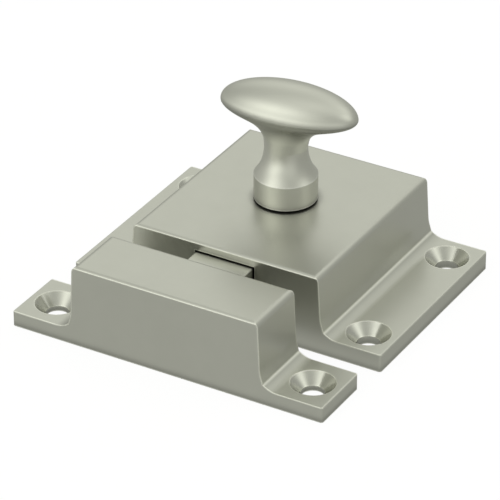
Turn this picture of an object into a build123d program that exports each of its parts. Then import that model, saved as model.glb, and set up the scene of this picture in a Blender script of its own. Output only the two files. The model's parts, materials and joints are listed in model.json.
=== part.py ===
from build123d import *
import math
import os

# Cabinet lock: a surface mounted latch case with an oval turn knob, and its box strike.
# Millimetres. Origin: centre of the case's four screw holes on the mounting plane.
# +X runs along the width, -Y points from the case to the strike, +Z out of the door to the knob.

# How far a cutter runs past the face it opens, and how near counts as the same place
overrun = 1.0
same_place = 0.001

# Castings
overall_width = 62.0
case_depth = 40.2
case_height = 15.1
case_top_width = 37.0
case_foot_width = 38.5
case_flange = 3.45
case_roof = 1.6
strike_depth = 12.5
strike_height = 15.75
strike_top_width = 36.8
strike_foot_width = 38.0
strike_flange = 2.95
strike_roof = 2.0
strike_gap = 6.25
strike_offset_x = -1.0
wall = 2.2
top_corner_round = 1.1
face_edge_round = 0.9
face_trim = 0.25
wing_edge_round = 0.3
wing_corner_round = 0.5

# Where a casting's wall meets its flange: the wall flares out to a crease, and a cove runs on from there
flare_height = 2.9
flare_round = 6.0
crease_out = 0.45
crease_up = 0.95
crease_round = 0.25
cove_slope = 35
cove_round = 4.2

# Mounting screw holes, for 3.9 mm flat head wood screws
screw_spacing_x = 51.4
screw_spacing_y = 29.4
screw_hole = 4.1
countersink = 8.0
countersink_angle = 90
countersink_rise = 0.5

# Cover plate under the case, and its screws
plate_recess = 0.3
plate_thickness = 1.2
plate_ledge = 0.9
plate_clearance = 0.15
plate_corner = 2.0
rail_height = 1.7
rail_width = 1.8
post_radius = 2.4
post_inset = 2.1
cover_screw_radius = 1.25
cover_screw_length = 6.0
cover_screw_head_radius = 2.35
cover_screw_head_height = 1.1
cover_screw_slot_width = 0.5
cover_screw_slot_depth = 0.45
cover_screw_tap_room = 0.5
thread_clearance = 0.05

# Bolt
bolt_width = 11.5
bolt_height = 5.95
bolt_reach = 9.5
bolt_nose_tip = 1.4
bolt_edge_round = 0.3
bolt_roof_clearance = 0.25
slot_side_clearance = 0.25
slide_clearance = 0.2
tail_width = 19.6
tail_thickness = 3.4
tail_side_bar = 2.6
tail_stop_clearance = 0.1
neck_block_length = 7.6
tail_bridge = 2.6
bridge_height = 3.4
bridge_width = 16.2
rib_thickness = 1.4
notch_side_room = 0.7
notch_back_room = 0.6
strike_mouth_width = 15.2
strike_mouth_clearance = 1.0

# Knob axis and drive
knob_y = 1.4
knob_turn_degrees = 70
drive_radius = 5.0
drive_pin_radius = 1.4
drive_pin_chamfer = 0.2
drive_clearance = 0.15
cam_thickness = 3.0
cam_hub_radius = 3.8
cam_rim = 1.0
cam_floor_gap = 0.3
spindle_radius = 2.5
spindle_square = 3.5
spindle_journal_radius = 1.7
spindle_end_recess = 0.2
spindle_chamfer = 0.3
running_clearance = 0.06
seat_clearance = 0.02
axial_clearance = 0.05
bush_wall = 1.1
bush_flange_radius = 5.0
bush_flange_thickness = 1.6
thrust_washer_thickness = 0.4
thrust_washer_radius = 3.8
clip_thickness = 0.6
clip_radius = 3.3
clip_groove_depth = 0.35
clip_mouth = 2.2
clip_drop = 0.15

# Bolt springs and their pins
spring_spacing = 11.0
spring_wire = 0.5
spring_coil_radius = 2.0
spring_turns = 6
spring_pin_radius = 1.2
spring_pin_stop_clearance = 0.12

# Knob
washer_thickness = 0.3
washer_radius = 5.3
collar_radius = 5.75
collar_height = 4.6
neck_radius = 3.9
neck_height = 10.2
head_length = 25.9
head_width = 12.2
head_rim_height = 17.6
head_dome = 4.75
head_offset = 0.55
head_twist = 5.5
stem_slope = 0.8
stem_curve_low = 0.15
stem_curve_high = 0.55
flare_curve_low = 0.82
flare_curve_high = 0.72
head_sections = 9
spindle_in_knob = 8.5
knob_bore_room = 0.3
set_screw_radius = 1.5
set_screw_height = 2.4
set_screw_flat = 0.4
set_screw_flat_margin = 0.3
set_screw_sink = 0.4
set_screw_socket = 0.75
set_screw_socket_depth = 1.2

# Worked-out levels and places
case_front = -case_depth / 2
strike_back = case_front - strike_gap
strike_mid_y = strike_back - strike_depth / 2
roof_underside = case_height - case_roof
cavity_half_x = case_top_width / 2 - wall
cavity_half_y = case_depth / 2 - wall
plate_top = plate_recess + plate_thickness
rail_top = plate_top + rail_height
tail_bottom = rail_top + slide_clearance
tail_top = tail_bottom + tail_thickness
bolt_top = roof_underside - bolt_roof_clearance
bolt_bottom = bolt_top - bolt_height
bolt_tip = case_front - bolt_reach
tail_front = -cavity_half_y + tail_stop_clearance
neck_block_back = tail_front + neck_block_length
half_turn = math.radians(knob_turn_degrees / 2)
throw = 2 * drive_radius * math.sin(half_turn)
drive_pin_y = knob_y - drive_radius * math.sin(half_turn)
drive_pin_x = -drive_radius * math.cos(half_turn)
drive_face = drive_pin_y + drive_pin_radius + drive_clearance
bush_radius = spindle_radius + running_clearance + bush_wall
bush_bottom = roof_underside - bush_flange_thickness
cam_top = bush_bottom - thrust_washer_thickness - 2 * axial_clearance
cam_bottom = cam_top - cam_thickness
clip_top = cam_bottom - clip_drop
cam_swing_front = knob_y + cam_hub_radius
bridge_front = cam_swing_front + cam_floor_gap
tail_back = bridge_front + tail_bridge
bridge_top = tail_top + bridge_height
spring_z = (tail_bottom + bridge_top) / 2
spring_pin_end = cavity_half_y - throw - spring_pin_stop_clearance
washer_bottom = case_height + axial_clearance
knob_base = washer_bottom + washer_thickness
neck_z = knob_base + neck_height
rim_z = knob_base + head_rim_height
post_x = cavity_half_x - post_inset
post_y = cavity_half_y - post_inset


def block(x0, x1, y0, y1, z0, z1):
    """A box from its two corners."""
    size = (x1 - x0, y1 - y0, z1 - z0)
    middle = ((x0 + x1) / 2, (y0 + y1) / 2, (z0 + z1) / 2)
    return Pos(*middle) * Box(*size)


def upright(radius, x, y, z0, z1):
    """A round bar along Z between two heights."""
    return Pos(x, y, (z0 + z1) / 2) * Cylinder(radius, z1 - z0)


def lying(radius, x, z, y0, y1):
    """A round bar along Y between two places."""
    return Pos(x, (y0 + y1) / 2, z) * Rot(X=90) * Cylinder(radius, y1 - y0)


def rounded_plate(half_x, half_y, corner, z0, z1):
    """A flat plate with round corners, centred on Z."""
    outline = RectangleRounded(2 * half_x, 2 * half_y, corner)
    return Pos(0, 0, z0) * extrude(outline, z1 - z0)


def screw_hole_cutter(x, y, top):
    """A clearance hole, whose countersink has its full size at the height top and widens on above it."""
    slope = math.tan(math.radians(countersink_angle / 2))
    low = top - (countersink - screw_hole) / 2 / slope
    high = top + countersink_rise
    through = upright(screw_hole / 2, x, y, -overrun, top + overrun)
    cone = Cone(screw_hole / 2, countersink / 2 + countersink_rise * slope, high - low)
    return through + Pos(x, y, (low + high) / 2) * cone


def winged_casting(top_width, foot_width, height, flange, depth):
    """A drafted box with a flange at each end, where its front, side and plan outlines cross.

    The front and back faces are ground flat, which leaves only part of the round over them.
    """
    half = overall_width / 2
    foot = foot_width / 2
    top = top_width / 2
    draft = (foot - top) / (height - flange)
    crease_x = foot + crease_out
    corners = (
        (half, flange, wing_edge_round),
        (crease_x + crease_up / math.tan(math.radians(cove_slope)), flange, cove_round),
        (crease_x, flange + crease_up, crease_round),
        (foot - draft * flare_height, flange + flare_height, flare_round),
        (top, height, top_corner_round),
    )
    right = [(half, 0)] + [(x, z) for x, z, radius in corners]
    left = [(-x, z) for x, z in reversed(right)]
    front = make_face(Polyline(*right, *left, close=True))
    for x, z, radius in corners:
        places = [
            v
            for v in front.vertices()
            if abs(abs(v.X) - x) < same_place and abs(v.Y - z) < same_place
        ]
        front = fillet(places, radius)
    side = RectangleRounded(depth + 2 * face_trim, 2 * height, face_edge_round)
    body = extrude(Plane.XZ * front, depth, both=True)
    body &= extrude(Plane.YZ * side, overall_width, both=True)
    return body & rounded_plate(half, depth / 2, wing_corner_round, 0, height + overrun)


def make_case():
    body = winged_casting(case_top_width, case_foot_width, case_height, case_flange, case_depth)
    hollow = block(
        -cavity_half_x, cavity_half_x, -cavity_half_y, cavity_half_y, -overrun, roof_underside
    )
    guide_inner = tail_width / 2 + slide_clearance
    guide_outer = guide_inner + rib_thickness
    keeper_inner = bridge_width / 2 + 2 * slide_clearance
    rib_start = -cavity_half_y - overrun
    rib_end = tail_back + throw
    keeper_bottom = tail_top + slide_clearance
    for side in (-1, 1):
        guide = sorted((side * guide_inner, side * guide_outer))
        keeper = sorted((side * keeper_inner, side * guide_outer))
        hollow -= block(*guide, rib_start, rib_end, tail_bottom, case_height)
        hollow -= block(*keeper, rib_start, rib_end, keeper_bottom, case_height)
    for x in (-post_x, post_x):
        for y in (-post_y, post_y):
            hollow -= upright(post_radius, x, y, plate_top, case_height)
    rebate = rounded_plate(
        cavity_half_x + plate_ledge, cavity_half_y + plate_ledge, plate_corner, -overrun, plate_top
    )
    body -= hollow + rebate
    slot_half = bolt_width / 2 + slot_side_clearance
    slot_bottom = bolt_bottom - slide_clearance
    body -= block(
        -slot_half,
        slot_half,
        case_front - overrun,
        -cavity_half_y + overrun,
        slot_bottom,
        roof_underside,
    )
    body -= upright(
        bush_radius + seat_clearance, 0, knob_y, roof_underside - overrun, case_height + overrun
    )
    for x in (-screw_spacing_x / 2, screw_spacing_x / 2):
        for y in (-screw_spacing_y / 2, screw_spacing_y / 2):
            body -= screw_hole_cutter(x, y, case_flange)
    tap_top = plate_recess + cover_screw_length + cover_screw_tap_room
    for x in (-post_x, post_x):
        for y in (-post_y, post_y):
            body -= upright(cover_screw_radius + thread_clearance, x, y, -overrun, tap_top)
    return body


def make_strike():
    body = winged_casting(
        strike_top_width, strike_foot_width, strike_height, strike_flange, strike_depth
    )
    half_x = strike_top_width / 2 - wall
    half_y = strike_depth / 2 - wall
    ceiling = strike_height - strike_roof
    body -= block(-half_x, half_x, -half_y, half_y, -overrun, ceiling)
    mouth = strike_mouth_width / 2
    body -= block(-mouth, mouth, 0, strike_depth, bolt_bottom - strike_mouth_clearance, ceiling)
    for x in (-screw_spacing_x / 2, screw_spacing_x / 2):
        body -= screw_hole_cutter(x, 0, strike_flange)
    return Pos(strike_offset_x, strike_mid_y, 0) * body


def make_back_plate():
    half_x = cavity_half_x + plate_ledge - plate_clearance
    half_y = cavity_half_y + plate_ledge - plate_clearance
    plate = rounded_plate(half_x, half_y, plate_corner - plate_clearance, plate_recess, plate_top)
    rail_mid = tail_width / 2 - tail_side_bar / 2
    rail_back = tail_back + throw
    for side in (-1, 1):
        middle = side * rail_mid
        plate += block(
            middle - rail_width / 2, middle + rail_width / 2, tail_front, rail_back, plate_top, rail_top
        )
    plate -= upright(
        spindle_journal_radius + running_clearance, 0, knob_y, -overrun, plate_top + overrun
    )
    for x in (-post_x, post_x):
        for y in (-post_y, post_y):
            plate -= cover_screw_shape(x, y, thread_clearance, False)
    return plate


def cover_screw_shape(x, y, grow, with_slot):
    """A countersunk screw pointing up, its head's flat at the plate's underside."""
    head_top = plate_recess + cover_screw_head_height
    shank = upright(
        cover_screw_radius + grow, x, y, plate_recess, plate_recess + cover_screw_length + grow
    )
    head = Pos(x, y, (plate_recess + head_top) / 2) * Cone(
        cover_screw_head_radius + grow, cover_screw_radius + grow, cover_screw_head_height
    )
    screw = shank + head
    if with_slot:
        radius = cover_screw_head_radius
        screw -= block(
            x - radius,
            x + radius,
            y - cover_screw_slot_width / 2,
            y + cover_screw_slot_width / 2,
            0,
            plate_recess + cover_screw_slot_depth,
        )
    return screw


def make_bolt():
    nose_half = bolt_width / 2
    nose = block(-nose_half, nose_half, bolt_tip, tail_front + overrun, bolt_bottom, bolt_top)
    bevel = bolt_height - bolt_nose_tip
    wedge = Polyline(
        (bolt_tip - overrun, bolt_bottom - overrun),
        (bolt_tip + bevel, bolt_bottom - overrun),
        (bolt_tip + bevel, bolt_bottom),
        (bolt_tip, bolt_bottom + bevel),
        (bolt_tip - overrun, bolt_bottom + bevel),
        close=True,
    )
    nose -= extrude(make_face(Plane.YZ * wedge), bolt_width, both=True)
    long_edges = [
        e for e in nose.edges().filter_by(Axis.Y) if e.center().Z > bolt_top - same_place
    ]
    tip_edges = [
        e for e in nose.edges().filter_by(Axis.X) if e.center().Y < bolt_tip + same_place
    ]
    nose = fillet(long_edges + tip_edges, bolt_edge_round)
    body = nose + block(-nose_half, nose_half, tail_front, neck_block_back, tail_bottom, bolt_top)
    tail_half = tail_width / 2
    body += block(-tail_half, tail_half, tail_front, tail_back, tail_bottom, tail_top)
    body += block(-bridge_width / 2, bridge_width / 2, bridge_front, tail_back, tail_bottom, bridge_top)
    bay = tail_half - tail_side_bar
    bay_front = neck_block_back + tail_stop_clearance
    cut_bottom = tail_bottom - overrun
    cut_top = tail_top + overrun
    body -= block(-bay, bay, bay_front, drive_face, cut_bottom, cut_top)
    notch = spindle_journal_radius + notch_side_room
    notch_back = knob_y + spindle_journal_radius + notch_back_room
    body -= block(-notch, notch, drive_face - overrun, notch_back, cut_bottom, cut_top)
    for x in (-spring_spacing / 2, spring_spacing / 2):
        bore = spring_pin_radius + seat_clearance
        body -= lying(bore, x, spring_z, bridge_front, tail_back + overrun)
    return body


def make_spring_pin(side):
    return lying(spring_pin_radius, side * spring_spacing / 2, spring_z, bridge_front, spring_pin_end)


def make_spring(side):
    """An open coil spring between the bolt's bridge and the case's rear wall."""
    start = tail_back + spring_wire / 2 + axial_clearance
    length = cavity_half_y - spring_wire / 2 - axial_clearance - start
    coil = Helix(length / spring_turns, length, spring_coil_radius)
    section = Plane(origin=coil @ 0, z_dir=coil % 0) * Circle(spring_wire / 2)
    spring = sweep(section, path=coil, is_frenet=True)
    return Pos(side * spring_spacing / 2, start, spring_z) * Rot(X=-90) * spring


def make_bush():
    bore = spindle_radius + running_clearance
    body = upright(bush_radius, 0, knob_y, bush_bottom, case_height)
    body += upright(bush_flange_radius, 0, knob_y, bush_bottom, roof_underside)
    return body - upright(bore, 0, knob_y, 0, case_height + overrun)


def make_thrust_washer():
    low = cam_top + axial_clearance
    high = low + thrust_washer_thickness
    disc = upright(thrust_washer_radius, 0, knob_y, low, high)
    bore = spindle_radius + thread_clearance
    return disc - upright(bore, 0, knob_y, low - overrun, high + overrun)


def make_cam():
    hub = Pos(0, knob_y) * Circle(cam_hub_radius)
    end = Pos(drive_pin_x, drive_pin_y) * Circle(drive_pin_radius + cam_rim)
    outline = make_hull(hub.edges() + end.edges())
    body = Pos(0, 0, cam_bottom) * extrude(outline, cam_thickness)
    half = spindle_square / 2 + thread_clearance
    body -= block(
        -half, half, knob_y - half, knob_y + half, cam_bottom - overrun, cam_top + overrun
    )
    pin_bore = drive_pin_radius + seat_clearance
    body -= upright(pin_bore, drive_pin_x, drive_pin_y, 0, cam_top + overrun)
    return body


def make_drive_pin():
    pin = upright(drive_pin_radius, drive_pin_x, drive_pin_y, tail_bottom + slide_clearance, cam_top)
    ends = pin.edges().filter_by(GeomType.CIRCLE)
    return chamfer(ends, drive_pin_chamfer)


def make_spindle():
    top = knob_base + spindle_in_knob
    body = upright(spindle_radius, 0, knob_y, cam_top, top)
    half = spindle_square / 2
    body += block(-half, half, knob_y - half, knob_y + half, cam_bottom, cam_top)
    body += upright(
        spindle_journal_radius, 0, knob_y, plate_recess + spindle_end_recess, cam_bottom
    )
    groove_bottom = clip_top - clip_thickness
    groove = upright(spindle_journal_radius + overrun, 0, knob_y, groove_bottom, clip_top)
    groove -= upright(
        spindle_journal_radius - clip_groove_depth, 0, knob_y, groove_bottom, clip_top
    )
    body -= groove
    flat_y = knob_y + spindle_radius - set_screw_flat
    flat_bottom = knob_base + set_screw_height - set_screw_radius - set_screw_flat_margin
    body -= block(
        -spindle_radius, spindle_radius, flat_y, flat_y + spindle_radius, flat_bottom, top + overrun
    )
    return chamfer(body.faces().sort_by(Axis.Z)[-1].edges(), spindle_chamfer)


def make_clip():
    """A retaining ring with an open mouth, sprung into the spindle's groove."""
    low = clip_top - clip_thickness + axial_clearance
    high = clip_top - axial_clearance
    bore = spindle_journal_radius - clip_groove_depth + thread_clearance
    ring = upright(clip_radius, 0, knob_y, low, high)
    ring -= upright(bore, 0, knob_y, low - overrun, high + overrun)
    mouth_end = knob_y + clip_radius + overrun
    ring -= block(
        -clip_mouth / 2, clip_mouth / 2, knob_y, mouth_end, low - overrun, high + overrun
    )
    return ring


def make_friction_washer():
    disc = upright(washer_radius, 0, knob_y, washer_bottom, knob_base)
    return disc - upright(spindle_radius + thread_clearance, 0, knob_y, 0, knob_base + overrun)


def make_set_screw():
    """A grub screw in the back of the collar, its point on the spindle's flat."""
    point = knob_y + spindle_radius - set_screw_flat + seat_clearance
    outside = knob_y + collar_radius - set_screw_sink
    z = knob_base + set_screw_height
    screw = lying(set_screw_radius, 0, z, point, outside)
    hexagon = extrude(RegularPolygon(set_screw_socket, 6), set_screw_socket_depth)
    return screw - Pos(0, outside, z) * Rot(X=90) * hexagon


def curve_point(points, t):
    """A point of the cubic curve through the first and last of four control points."""
    weights = ((1 - t) ** 3, 3 * t * (1 - t) ** 2, 3 * t * t * (1 - t), t**3)
    first = sum(w * p[0] for w, p in zip(weights, points))
    second = sum(w * p[1] for w, p in zip(weights, points))
    return first, second


def make_knob():
    crease_z = knob_base + collar_height
    rise = neck_z - crease_z
    stem = Polyline(
        (0, neck_z),
        (0, knob_base),
        (collar_radius, knob_base),
        (collar_radius, crease_z),
    )
    cove = Bezier(
        (collar_radius, crease_z),
        (collar_radius - stem_slope * stem_curve_low * rise, crease_z + stem_curve_low * rise),
        (neck_radius, neck_z - stem_curve_high * rise),
        (neck_radius, neck_z),
    )
    profile = make_face(Plane.XZ * (stem + cove + Line((neck_radius, neck_z), (0, neck_z))))
    body = revolve(profile, Axis.Z)
    flare = ((0, 0), (0, flare_curve_low), (1, flare_curve_high), (1, 1))
    sections = []
    for index in range(head_sections + 1):
        spread, climb = curve_point(flare, index / head_sections)
        half_x = neck_radius + (head_length / 2 - neck_radius) * spread
        half_y = neck_radius + (head_width / 2 - neck_radius) * spread
        z = neck_z + (rim_z - neck_z) * climb
        sections.append(Pos(head_offset * climb, 0, z) * Ellipse(half_x, half_y))
    head = loft(sections)
    dome = scale(Sphere(1), by=(head_length / 2, head_width / 2, head_dome))
    dome -= block(-head_length, head_length, -head_length, head_length, -head_length, 0)
    head += Pos(head_offset, 0, rim_z) * dome
    body += Rot(Z=head_twist) * head
    body = Pos(0, knob_y, 0) * body
    bore_top = knob_base + spindle_in_knob + knob_bore_room
    body -= upright(spindle_radius + seat_clearance, 0, knob_y, knob_base - overrun, bore_top)
    tap = lying(
        set_screw_radius + thread_clearance,
        0,
        knob_base + set_screw_height,
        knob_y,
        knob_y + collar_radius + overrun,
    )
    return body - tap


parts = {
    "case": make_case(),
    "strike": make_strike(),
    "back_plate": make_back_plate(),
    "bolt": make_bolt(),
    "knob": make_knob(),
    "spindle": make_spindle(),
    "spindle_bush": make_bush(),
    "thrust_washer": make_thrust_washer(),
    "cam": make_cam(),
    "drive_pin": make_drive_pin(),
    "spindle_clip": make_clip(),
    "friction_washer": make_friction_washer(),
    "knob_set_screw": make_set_screw(),
}
for side, label in ((-1, "left"), (1, "right")):
    parts[f"spring_pin_{label}"] = make_spring_pin(side)
    parts[f"bolt_spring_{label}"] = make_spring(side)
corners = ((-1, -1), (1, -1), (-1, 1), (1, 1))
for number, (sx, sy) in enumerate(corners, 1):
    parts[f"cover_screw_{number}"] = cover_screw_shape(sx * post_x, sy * post_y, 0, True)

os.makedirs("parts", exist_ok=True)
for name, shape in parts.items():
    solids = shape.solids()
    export_step(solids[0] if len(solids) == 1 else Compound(solids), f"parts/{name}.step")
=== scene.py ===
import json
import math
import bpy
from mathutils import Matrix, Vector


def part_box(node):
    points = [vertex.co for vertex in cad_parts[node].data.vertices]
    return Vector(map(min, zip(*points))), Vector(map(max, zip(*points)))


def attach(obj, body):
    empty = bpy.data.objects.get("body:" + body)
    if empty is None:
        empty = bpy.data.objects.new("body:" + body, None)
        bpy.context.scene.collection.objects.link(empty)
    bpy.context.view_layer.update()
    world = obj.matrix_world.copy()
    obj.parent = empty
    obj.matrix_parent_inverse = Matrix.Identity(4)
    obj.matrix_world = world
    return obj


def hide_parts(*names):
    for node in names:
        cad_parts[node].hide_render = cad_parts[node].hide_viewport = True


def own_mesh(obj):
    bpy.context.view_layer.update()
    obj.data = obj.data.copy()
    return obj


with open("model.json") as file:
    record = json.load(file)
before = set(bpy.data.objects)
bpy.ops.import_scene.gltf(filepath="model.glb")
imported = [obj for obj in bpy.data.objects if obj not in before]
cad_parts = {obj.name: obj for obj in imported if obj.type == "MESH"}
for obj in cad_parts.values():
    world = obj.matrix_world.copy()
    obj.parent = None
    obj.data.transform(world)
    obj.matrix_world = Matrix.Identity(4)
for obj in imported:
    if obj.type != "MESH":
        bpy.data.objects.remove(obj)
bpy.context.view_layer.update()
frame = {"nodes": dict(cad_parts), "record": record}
nodes = frame["nodes"]
node_slot = {piece["node"]: piece["material_slot"] for piece in frame["record"]["subparts"]}

MM = 0.001
BLACK = (0, 0, 0, 1)
WHITE = (1, 1, 1, 1)

# Camera, solved from the photo's straight edges
VIEW_AZIMUTH = math.radians(30.1)
VIEW_ELEVATION = math.radians(30.82)
VIEW_DISTANCE = 646.3 * MM
VIEW_TARGET = Vector((-8.96, 4.2, 0.0)) * MM
FOCAL_LENGTH = 256.6
SENSOR = 36.0
CLIP_START = 10 * MM

# Soft studio: name, azimuth and elevation, half width and half height in degrees, brightness
SOFTBOXES = (
    ("key_left", 246, 36, 28, 24, 1.15),
    ("low_front", 252, -2, 38, 12, 1.10),
    ("right", 14, 40, 17, 18, 0.80),
    ("right_back", 64, 48, 20, 14, 0.55),
    ("back", 120, 34, 26, 20, 0.46),
    ("overhead", 0, 90, 26, 26, 0.45),
    ("front_right", 325, 5, 26, 26, 0.25),
)
STUDIO_TINT = (0.985, 1.0, 0.915)
STUDIO_BASE = 0.43
FLOOR_GLOW = 0.93
FLOOR_PALE = 0.10
FLOOR_ROUGH = 0.9
FLOOR_SIZE = 6.0
FLOOR_DROP = 0.02 * MM

# Plated metal: colours and roughness
NICKEL = (0.632, 0.635, 0.587)
KNOB_NICKEL = (0.670, 0.673, 0.622)
CASTING_ROUGH = 0.34
KNOB_ROUGH = 0.36
BOLT_ROUGH = 0.32

# Fine texture of plated metal: a faint mottle in the colour, a haze in the roughness, and a grain
NOISE_ROUGHNESS = 0.55
MOTTLE = 0.012
MOTTLE_SIZE = 7 * MM
HAZE = 0.04
HAZE_SIZE = 1.6 * MM
GRAIN = 0.10 * MM
GRAIN_DEPTH = 0.0006 * MM

# Painted highlights on sharp edges and painted shade in recesses of plated metal; the cosines say how far
# the normal turns over an edge that gets the painted highlight
NORMAL_SAMPLES = 6
RECESS_SAMPLES = 8
EDGE_SOFTNESS = 0.12 * MM
EDGE_WIDTH = 0.45 * MM
PAINTED_HIGHLIGHT_GAIN = 1.57
EDGE_FLAT_COSINE = 0.99
EDGE_SHARP_COSINE = 0.93
RECESS_REACH = 2.0 * MM
RECESS_PAINTED_SHADE = 0.35
RECESS_FULL = 0.35
RECESS_OPEN = 0.9

# Lines left by turning
LINE_SIZE = 0.45 * MM
LINE_STRETCH = (0.02, 0.02, 1)
LINE_DEPTH = 0.006 * MM

# Castings: heights of the flange and of the crease above it, the painted shade in the cove between them, the
# painted highlight along the crease, and the countersinks
CASE_FOOT = (3.45 * MM, 4.4 * MM)
STRIKE_FOOT = (2.95 * MM, 3.9 * MM)
SIDE_LIMIT = 0.6
COVE_PAINTED_SHADE = 0.35
CREASE_HIGHLIGHT_WIDTH = 0.30 * MM
SINK_SLOPE = math.sqrt(0.5)
SINK_SLOPE_BAND = 0.1
SINK_EDGE = 0.1 * MM
SINK_ROUGH = 0.22

# Knob: heights above its base, and the painted shade under its head between two slopes of the surface
COLLAR_HEIGHT = 4.6 * MM
HEAD_HEIGHT = 12.5 * MM
HEAD_BLEND = 2.5 * MM
UNDERSIDE_FULL = -0.15
UNDERSIDE_NONE = 0.3
UNDERSIDE_PAINTED_SHADE = 0.42

# Lathe-turned pieces
TURNED_PITCH = 0.12 * MM
TURNED_DEPTH = 0.004 * MM
TURNED_TARNISH = 0.9
TURNED_TARNISH_SIZE = 2 * MM
TURNED_TARNISH_SHARE = 0.5
TURNED_SPREAD = 0.15
TURNED_STRENGTH = 0.4
TURNED_WANDER = 0.6
WIRE_PITCH = 0.3 * MM

# Zinc plated sheet
SHEET_GRAIN = 0.25 * MM
SHEET_STRETCH = (1, 0.05, 1)
SHEET_DARK = 0.88
SHEET_SMOOTHER = 0.85
SHEET_ROUGHER = 1.2
SHEET_DEPTH = 0.004 * MM
SHEET_STRENGTH = 0.5
SPANGLE_SIZE = 1.4 * MM
SPANGLE_SHARE = 0.35

# Moulded plastic
SKIN_SIZE = 0.4 * MM
SKIN_DARK = 0.8
SKIN_SPREAD = 0.1
SKIN_DEPTH = 0.004 * MM
SKIN_STRENGTH = 0.5

# Bolt springs, which stand against the rear wall of the case
SPRING_WIRE = 0.5 * MM
SPRING_CLOSED_PITCH = SPRING_WIRE * 1.04
SPRING_TURNS = 7
SPRING_STEPS = 28
SPRING_SIDES = 10

# Sockets of the mix node, where it mixes colours
MIX_FACTOR = 0
MIX_FIRST = 6
MIX_SECOND = 7
MIX_RESULT = 2


def tinted(colour, share):
    """A colour made lighter or darker, and never brighter than white."""
    return tuple(min(1.0, channel * share) for channel in colour)


class Wiring:
    """Adds nodes to one node tree and joins them."""

    def __init__(self, tree):
        self.tree = tree

    def add(self, kind, **values):
        """A new node; each value is for a property or an input of it."""
        node = self.tree.nodes.new(kind)
        for key, value in values.items():
            if hasattr(node, key):
                setattr(node, key, value)
            else:
                node.inputs[key.replace("_", " ")].default_value = value
        return node

    def join(self, source, target):
        """Joins a socket to an input, or sets the input to a plain value."""
        if isinstance(source, bpy.types.NodeSocket):
            self.tree.links.new(source, target)
        else:
            target.default_value = source

    def number(self, operation, *sources):
        """One step of arithmetic on sockets and numbers."""
        node = self.add("ShaderNodeMath", operation=operation)
        for source, socket in zip(sources, node.inputs):
            self.join(source, socket)
        return node.outputs[0]

    def product(self, first, *others):
        for other in others:
            first = self.number("MULTIPLY", first, other)
        return first

    def part_of(self, vector, axis):
        split = self.add("ShaderNodeSeparateXYZ")
        self.join(vector, split.inputs[0])
        return split.outputs[axis]

    def dot(self, first, second):
        """The dot product of two vectors."""
        node = self.add("ShaderNodeVectorMath", operation="DOT_PRODUCT")
        self.join(first, node.inputs[0])
        self.join(second, node.inputs[1])
        return node.outputs["Value"]

    def fade(self, value, start, end):
        """1 at start, falling evenly to 0 at end, and flat beyond both."""
        node = self.add("ShaderNodeMapRange", From_Min=start, From_Max=end, To_Min=1.0, To_Max=0.0)
        self.join(value, node.inputs["Value"])
        return node.outputs["Result"]


class Shader(Wiring):
    """One material, with the textures and masks that its finish needs."""

    def __init__(self, name):
        self.material = bpy.data.materials.new(name)
        self.material.use_nodes = True
        super().__init__(self.material.node_tree)
        self.surface = self.tree.nodes["Principled BSDF"]
        self.place = self.add("ShaderNodeTexCoord").outputs["Object"]

    def noise(self, size, detail=3.0, stretch=(1, 1, 1)):
        """Noise whose grains are about size metres across, drawn out along an axis by a small stretch."""
        mapping = self.add("ShaderNodeMapping", Scale=stretch)
        self.join(self.place, mapping.inputs["Vector"])
        texture = self.add("ShaderNodeTexNoise", Scale=1 / size, Detail=detail, Roughness=NOISE_ROUGHNESS)
        self.join(mapping.outputs["Vector"], texture.inputs["Vector"])
        return texture.outputs["Fac"]

    def ramp(self, source, low, high, start=0.3, end=0.7):
        """A colour ramp from low to high, each a grey value or a colour."""
        node = self.add("ShaderNodeValToRGB")
        for stop, place, value in zip(node.color_ramp.elements, (start, end), (low, high)):
            stop.position = place
            stop.color = (*value, 1) if hasattr(value, "__len__") else (value, value, value, 1)
        self.join(source, node.inputs["Fac"])
        return node.outputs["Color"]

    def mix(self, factor, first, second, blend="MIX"):
        """Two colours mixed by a factor."""
        node = self.add("ShaderNodeMix", data_type="RGBA", blend_type=blend)
        for source, socket in ((factor, MIX_FACTOR), (first, MIX_FIRST), (second, MIX_SECOND)):
            self.join(source, node.inputs[socket])
        return node.outputs[MIX_RESULT]

    def bump(self, height, depth, strength=1.0, below=None):
        """A bump of depth metres; below is a normal to build on."""
        node = self.add("ShaderNodeBump", Strength=strength, Distance=depth)
        self.join(height, node.inputs["Height"])
        if below is not None:
            self.join(below, node.inputs["Normal"])
        return node.outputs["Normal"]

    def true_normal(self):
        return self.add("ShaderNodeNewGeometry").outputs["Normal"]

    def rounded_normal(self, radius):
        """The surface normal, averaged over every edge nearer than the radius."""
        return self.add("ShaderNodeBevel", samples=NORMAL_SAMPLES, Radius=radius).outputs["Normal"]

    def recesses(self, reach):
        """White in the open, darker where other surfaces stand near."""
        return self.add("ShaderNodeAmbientOcclusion", samples=RECESS_SAMPLES, Distance=reach).outputs["AO"]

    def sharp_edges(self, width):
        """White along edges sharper than width, black elsewhere."""
        turn = self.dot(self.rounded_normal(width), self.true_normal())
        return self.fade(turn, EDGE_SHARP_COSINE, EDGE_FLAT_COSINE)

    def height(self):
        return self.part_of(self.place, "Z")

    def below(self, height):
        """White under a height along Z, black above it."""
        return self.number("LESS_THAN", self.height(), height)

    def facing(self, axis):
        """How far the surface faces along an axis, from -1 to 1."""
        return self.part_of(self.true_normal(), axis)

    def wire_surface(self, colour, roughness, normal, metallic=1.0):
        """Joins the finish to the surface and gives the material."""
        inputs = self.surface.inputs
        self.join(colour, inputs["Base Color"])
        self.join(roughness, inputs["Roughness"])
        self.join(normal, inputs["Normal"])
        self.join(metallic, inputs["Metallic"])
        return self.material


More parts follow.
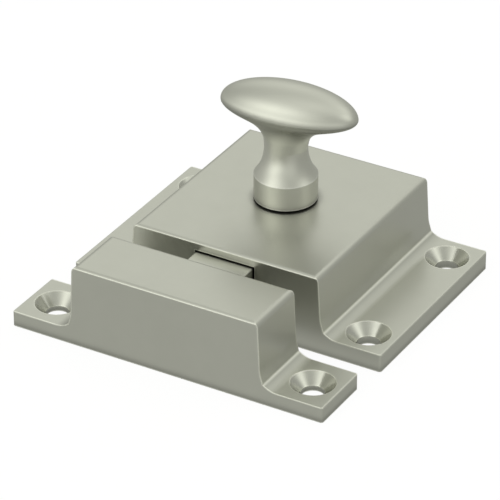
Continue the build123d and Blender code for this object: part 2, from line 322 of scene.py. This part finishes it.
class Plating(Shader):
    """Satin plated metal: a fine grain, a faint mottle, painted shade in recesses and a painted highlight on
    sharp edges.
    """

    def __init__(self, name, colour, rough):
        super().__init__(name)
        dark, light = tinted(colour, 1 - MOTTLE), tinted(colour, 1 + MOTTLE)
        mottle = self.ramp(self.noise(MOTTLE_SIZE, detail=4.0), dark, light)
        # Painted shade: the colour darkens where other surfaces stand near
        recess = self.ramp(self.recesses(RECESS_REACH), RECESS_PAINTED_SHADE, 1.0, RECESS_FULL, RECESS_OPEN)
        self.colour = self.mix(1.0, mottle, recess, "MULTIPLY")
        # Painted highlight: a brighter copy of the colour along sharp edges
        self.painted_highlight = (*tinted(colour, PAINTED_HIGHLIGHT_GAIN), 1)
        self.highlight_mask = self.sharp_edges(EDGE_WIDTH)
        haze = self.noise(HAZE_SIZE, detail=5.0)
        self.roughness = self.ramp(haze, rough * (1 - HAZE), rough * (1 + HAZE))
        grain = self.noise(GRAIN, detail=2.0)
        self.normal = self.bump(grain, GRAIN_DEPTH, below=self.rounded_normal(EDGE_SOFTNESS))

    def paint_shade(self, mask, shade):
        """Paints shade into the plate's colour, as deep as the given shade, where the mask is white."""
        self.colour = self.mix(self.number("MULTIPLY", mask, shade), self.colour, BLACK)

    def turn(self, mask):
        """Adds level lines of turning where the mask is white."""
        lines = self.noise(LINE_SIZE, stretch=LINE_STRETCH)
        self.normal = self.bump(self.product(lines, mask), LINE_DEPTH, below=self.normal)

    def finished(self):
        # The painted highlight is mixed into the colour along the highlight mask
        colour = self.mix(self.highlight_mask, self.colour, self.painted_highlight)
        return self.wire_surface(colour, self.roughness, self.normal)


def casting_finish(name, flange, crease):
    """The plating of a casting, given the heights of its flange and of the crease above it.

    The cove between them gets painted shade, the crease gets a painted highlight, and the countersinks in
    the flange are turned.
    """
    s = Plating(name, NICKEL, CASTING_ROUGH)
    height = s.height()
    sideways = s.number("LESS_THAN", s.number("ABSOLUTE", s.facing("Y")), SIDE_LIMIT)
    # Painted shade in the cove under the crease, on surfaces that face sideways
    s.paint_shade(s.product(s.fade(height, crease, flange), s.below(crease), sideways), COVE_PAINTED_SHADE)
    # Painted highlight: a thin bright line along the crease
    line = s.fade(s.number("ABSOLUTE", s.number("SUBTRACT", height, crease)), 0.0, CREASE_HIGHLIGHT_WIDTH)
    s.highlight_mask = s.number("MAXIMUM", s.highlight_mask, s.product(line, sideways))
    off_slope = s.number("ABSOLUTE", s.number("SUBTRACT", s.facing("Z"), SINK_SLOPE))
    sink = s.product(s.number("LESS_THAN", off_slope, SINK_SLOPE_BAND), s.below(flange - SINK_EDGE))
    s.roughness = s.mix(sink, s.roughness, (SINK_ROUGH, SINK_ROUGH, SINK_ROUGH, 1))
    s.turn(sink)
    return s.finished()


def knob_finish(base):
    """The plating of the knob: its collar shows lines of turning, and its head gets painted shade
    underneath.
    """
    s = Plating("satin_nickel_knob", KNOB_NICKEL, KNOB_ROUGH)
    head = base + HEAD_HEIGHT
    in_head = s.fade(s.height(), head + HEAD_BLEND, head)
    s.turn(s.below(base + COLLAR_HEIGHT))
    # Painted shade under the head
    s.paint_shade(s.product(s.fade(s.facing("Z"), UNDERSIDE_FULL, UNDERSIDE_NONE), in_head), UNDERSIDE_PAINTED_SHADE)
    return s.finished()


def bolt_finish():
    return Plating("satin_nickel_bolt", NICKEL, BOLT_ROUGH).finished()


def turned(name, colour, rough, pitch=TURNED_PITCH):
    """Lathe-turned metal with fine rings about Z."""
    s = Shader(name)
    wave = s.add("ShaderNodeTexWave", wave_type="BANDS", bands_direction="Z",
                 Scale=1 / pitch / math.tau, Distortion=TURNED_WANDER, Detail=2.0)
    s.join(s.place, wave.inputs["Vector"])
    rings = wave.outputs["Fac"]
    tarnish = s.ramp(s.noise(TURNED_TARNISH_SIZE), tinted(colour, TURNED_TARNISH), colour)
    tone = s.mix(TURNED_TARNISH_SHARE, tarnish, (*colour, 1))
    roughness = s.ramp(rings, rough * (1 - TURNED_SPREAD), rough * (1 + TURNED_SPREAD))
    return s.wire_surface(tone, roughness, s.bump(rings, TURNED_DEPTH, TURNED_STRENGTH))


def sheet_steel(name, colour, rough):
    """Zinc plated sheet with the grain of the rolling and a fine spangle."""
    s = Shader(name)
    grain = s.noise(SHEET_GRAIN, detail=4.0, stretch=SHEET_STRETCH)
    spangle = s.add("ShaderNodeTexVoronoi", Scale=1 / SPANGLE_SIZE)
    s.join(s.place, spangle.inputs["Vector"])
    rolled = s.ramp(grain, tinted(colour, SHEET_DARK), colour)
    tone = s.mix(SPANGLE_SHARE, rolled, spangle.outputs["Color"], "SOFT_LIGHT")
    roughness = s.ramp(grain, rough * SHEET_SMOOTHER, rough * SHEET_ROUGHER)
    return s.wire_surface(tone, roughness, s.bump(grain, SHEET_DEPTH, SHEET_STRENGTH))


def moulded(name, colour, rough):
    """Moulded plastic with a faint orange peel."""
    s = Shader(name)
    skin = s.noise(SKIN_SIZE)
    tone = s.ramp(skin, tinted(colour, SKIN_DARK), colour)
    roughness = s.ramp(skin, rough * (1 - SKIN_SPREAD), rough * (1 + SKIN_SPREAD))
    return s.wire_surface(tone, roughness, s.bump(skin, SKIN_DEPTH, SKIN_STRENGTH), metallic=0.0)


finishes = {
    "nickel_casting": casting_finish("satin_nickel_case", *CASE_FOOT),
    "nickel_knob": knob_finish(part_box("knob")[0].z),
    "nickel_bolt": bolt_finish(),
    "cover_steel": sheet_steel("zinc_sheet", (0.62, 0.62, 0.60), 0.42),
    "turned_steel": turned("turned_steel", (0.58, 0.58, 0.56), 0.3),
    "hardened_steel": turned("black_oxide_steel", (0.09, 0.09, 0.10), 0.42),
    "spring_steel": turned("spring_wire", (0.42, 0.42, 0.41), 0.34, pitch=WIRE_PITCH),
    "bush_brass": turned("turned_brass", (0.80, 0.62, 0.30), 0.3),
    "black_nylon": moulded("black_nylon", (0.012, 0.012, 0.012), 0.6),
}
strike_finish = casting_finish("satin_nickel_strike", *STRIKE_FOOT)


def dress(piece, finish):
    """Gives a piece one finish all over."""
    piece.data.materials.clear()
    piece.data.materials.append(finish)


for name, piece in nodes.items():
    dress(piece, strike_finish if name == "strike" else finishes[node_slot[name]])


def coil_point(share, radius, length):
    """A point along a compression spring with one closed turn at each end."""
    turn = share * SPRING_TURNS
    open_turns = SPRING_TURNS - 2
    if turn < 1:
        along = turn * SPRING_CLOSED_PITCH
    elif turn > SPRING_TURNS - 1:
        along = length - (SPRING_TURNS - turn) * SPRING_CLOSED_PITCH
    else:
        along = SPRING_CLOSED_PITCH + (turn - 1) / open_turns * (length - 2 * SPRING_CLOSED_PITCH)
    return Vector((radius * math.cos(math.tau * turn), along, radius * math.sin(math.tau * turn)))


def coil_mesh(name, path, axis_point):
    """A round wire along a path that winds about the Y axis through a point."""
    last = len(path) - 1
    points, faces = [], []
    for step, spot in enumerate(path):
        ahead = (path[min(step + 1, last)] - path[max(step - 1, 0)]).normalized()
        outward = (spot - Vector((axis_point.x, spot.y, axis_point.z))).normalized()
        across = ahead.cross(outward).normalized()
        for side in range(SPRING_SIDES):
            angle = math.tau * side / SPRING_SIDES
            points.append(spot + (outward * math.cos(angle) + across * math.sin(angle)) * SPRING_WIRE / 2)
    for step in range(last):
        first, second = step * SPRING_SIDES, (step + 1) * SPRING_SIDES
        for side in range(SPRING_SIDES):
            other = (side + 1) % SPRING_SIDES
            faces.append((first + side, first + other, second + other, second + side))
    faces.append(tuple(range(SPRING_SIDES)))
    faces.append(tuple(last * SPRING_SIDES + side for side in reversed(range(SPRING_SIDES))))
    mesh = bpy.data.meshes.new(name)
    mesh.from_pydata(points, [], faces)
    mesh.shade_smooth()
    return mesh


def make_spring(name):
    """A coil spring in the place of its CAD solid."""
    low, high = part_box(name)
    middle = (low + high) / 2
    radius = (high.x - low.x) / 2 - SPRING_WIRE / 2
    length = high.y - low.y - SPRING_WIRE
    start = Vector((middle.x, low.y + SPRING_WIRE / 2, middle.z))
    steps = SPRING_TURNS * SPRING_STEPS
    path = [start + coil_point(step / steps, radius, length) for step in range(steps + 1)]
    coil = bpy.data.objects.new(f"{name}_coil", coil_mesh(f"{name}_wire", path, middle))
    bpy.context.scene.collection.objects.link(coil)
    dress(coil, finishes[node_slot[name]])
    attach(coil, "root")
    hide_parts(name)
    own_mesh(coil)


for name in ("bolt_spring_left", "bolt_spring_right"):
    make_spring(name)


def make_floor():
    """A plain pale floor, which the metal doesn't mirror."""
    bpy.ops.mesh.primitive_plane_add(size=FLOOR_SIZE, location=(0, 0, -FLOOR_DROP))
    floor = bpy.context.object
    floor.name = "floor"
    s = Shader("pale_floor")
    inputs = s.surface.inputs
    inputs["Base Color"].default_value = (FLOOR_PALE, FLOOR_PALE, FLOOR_PALE, 1)
    inputs["Roughness"].default_value = FLOOR_ROUGH
    inputs["Specular IOR Level"].default_value = 0.0
    inputs["Emission Color"].default_value = WHITE
    inputs["Emission Strength"].default_value = FLOOR_GLOW
    floor.data.materials.append(s.material)
    floor.visible_glossy = False


def softbox_glow(studio, direction, azimuth, elevation, half_width, half_height, brightness):
    """The glow of one broad light: full in its middle, fading all round, and only on its own side."""
    turn, tilt = math.radians(azimuth), math.radians(elevation)
    facing = Vector((math.cos(tilt) * math.cos(turn), math.cos(tilt) * math.sin(turn), math.sin(tilt)))
    sideways = Vector((-math.sin(turn), math.cos(turn), 0))
    in_front = studio.number("GREATER_THAN", studio.dot(direction, facing), 0.0)
    across = studio.number("DIVIDE", studio.dot(direction, sideways), math.sin(math.radians(half_width)))
    upward_axis = facing.cross(sideways)
    upward = studio.number("DIVIDE", studio.dot(direction, upward_axis), math.sin(math.radians(half_height)))
    away = studio.number("ADD", studio.number("POWER", across, 2.0), studio.number("POWER", upward, 2.0))
    glow = studio.number("EXPONENT", studio.number("MULTIPLY", away, -1.0))
    return studio.product(glow, in_front, brightness)


def make_studio():
    """A soft studio all round: an evenly pale room with broad lights on its sides and above."""
    world = bpy.data.worlds.new("studio")
    bpy.context.scene.world = world
    bpy.context.scene.view_settings.view_transform = "Standard"
    world.use_nodes = True
    studio = Wiring(world.node_tree)
    studio.tree.nodes.clear()
    direction = studio.add("ShaderNodeTexCoord").outputs["Generated"]
    total = STUDIO_BASE
    for _, *softbox in SOFTBOXES:
        total = studio.number("ADD", total, softbox_glow(studio, direction, *softbox))
    background = studio.add("ShaderNodeBackground", Color=(*STUDIO_TINT, 1))
    studio.join(total, background.inputs["Strength"])
    output = studio.add("ShaderNodeOutputWorld")
    studio.join(background.outputs["Background"], output.inputs["Surface"])


def make_camera():
    """The photo's camera, which looks down on the lock from the front right."""
    sight = Vector((
        -math.sin(VIEW_AZIMUTH) * math.cos(VIEW_ELEVATION),
        math.cos(VIEW_AZIMUTH) * math.cos(VIEW_ELEVATION),
        -math.sin(VIEW_ELEVATION),
    ))
    data = bpy.data.cameras.new("camera")
    data.lens = FOCAL_LENGTH
    data.sensor_width = SENSOR
    data.clip_start = CLIP_START
    camera = bpy.data.objects.new("camera", data)
    bpy.context.scene.collection.objects.link(camera)
    camera.location = VIEW_TARGET - sight * VIEW_DISTANCE
    camera.rotation_mode = "QUATERNION"
    camera.rotation_quaternion = sight.to_track_quat("-Z", "Y")
    bpy.context.scene.camera = camera


make_floor()
make_studio()
make_camera()
